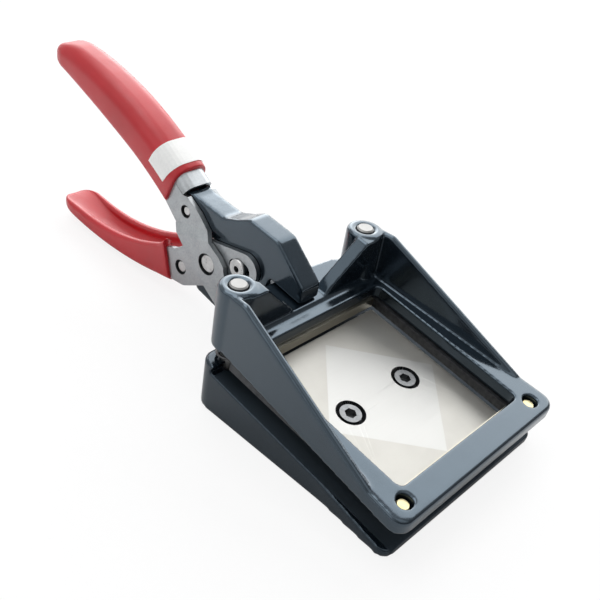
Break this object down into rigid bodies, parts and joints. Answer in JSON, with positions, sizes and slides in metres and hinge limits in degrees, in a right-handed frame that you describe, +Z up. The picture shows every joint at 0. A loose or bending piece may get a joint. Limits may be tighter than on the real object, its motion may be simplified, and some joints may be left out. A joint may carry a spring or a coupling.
{
  "type": "photo cutter",
  "caption": "Plier-type photo cutter: a wedge base with a square punch, a die frame sliding on posts, and hand levers with dipped grips that press the frame down.",
  "frame": {"origin": "on the base's flat underside, in the middle plane, below the middle of the die window", "axes": "+X to the right, +Y from the front edge to the handles, +Z up from the underside"},
  "size_m": [0.0696, 0.1803, 0.0618],
  "materials": {
    "black_paint": "glossy black stove paint on castings",
    "ground_steel": "finely ground tool steel",
    "black_oxide": "black oxide",
    "spring_steel": "drawn spring wire",
    "yellow_zinc": "yellow zinc plating",
    "zinc_plate": "zinc-plated pressed steel",
    "rivet_steel": "plain steel rivets",
    "red_grip": "glossy dipped red vinyl",
    "label_paper": "plain white paper, left bare"
  },
  "bodies": {
    "base": {"base_casting": "black_paint", "punch_block": "ground_steel", "punch_screws": "black_oxide", "guide_post_left": "ground_steel", "guide_post_right": "ground_steel", "return_spring_left": "spring_steel", "return_spring_right": "spring_steel", "upper_handle": "zinc_plate", "upper_grip": "red_grip", "size_label": "label_paper", "main_pivot_rivet": "rivet_steel", "tail_rivet": "rivet_steel", "arm_pivot_pin": "rivet_steel"},
    "lower_handle": {"lower_handle": "zinc_plate", "lower_grip": "red_grip", "handle_rivet": "rivet_steel", "handle_spacer": "rivet_steel"},
    "press_arm": {"press_arm": "black_paint", "link_pin": "rivet_steel"},
    "die_frame": {"die_frame": "black_paint", "die_ring": "ground_steel", "die_pins_front": "yellow_zinc", "die_screws_rear": "black_oxide"}
  },
  "joints": [
    {"name": "die_frame", "type": "slide", "parent": "base", "child": "die_frame", "axis": [0, 0, -1], "range_m": [0, 0.00424], "stiffness_N_per_m": 3000, "springref_m": -0.003, "deforming": ["return_spring_left", "return_spring_right"]},
    {"name": "lower_handle", "type": "hinge", "parent": "base", "child": "lower_handle", "pos_m": [0, 0.0648, 0.02092], "axis": [1, 0, 0], "range_deg": [0, 11.2]},
    {"name": "press_arm", "type": "hinge", "parent": "base", "child": "press_arm", "pos_m": [0, 0.0774, 0.03212], "axis": [1, 0, 0], "range_deg": [0, 5.35]}
  ],
  "couplings": [
    {"joint": "lower_handle", "follows": "die_frame", "rad_per_m": 45.266},
    {"joint": "press_arm", "follows": "die_frame", "rad_per_m": 21.604}
  ]
}
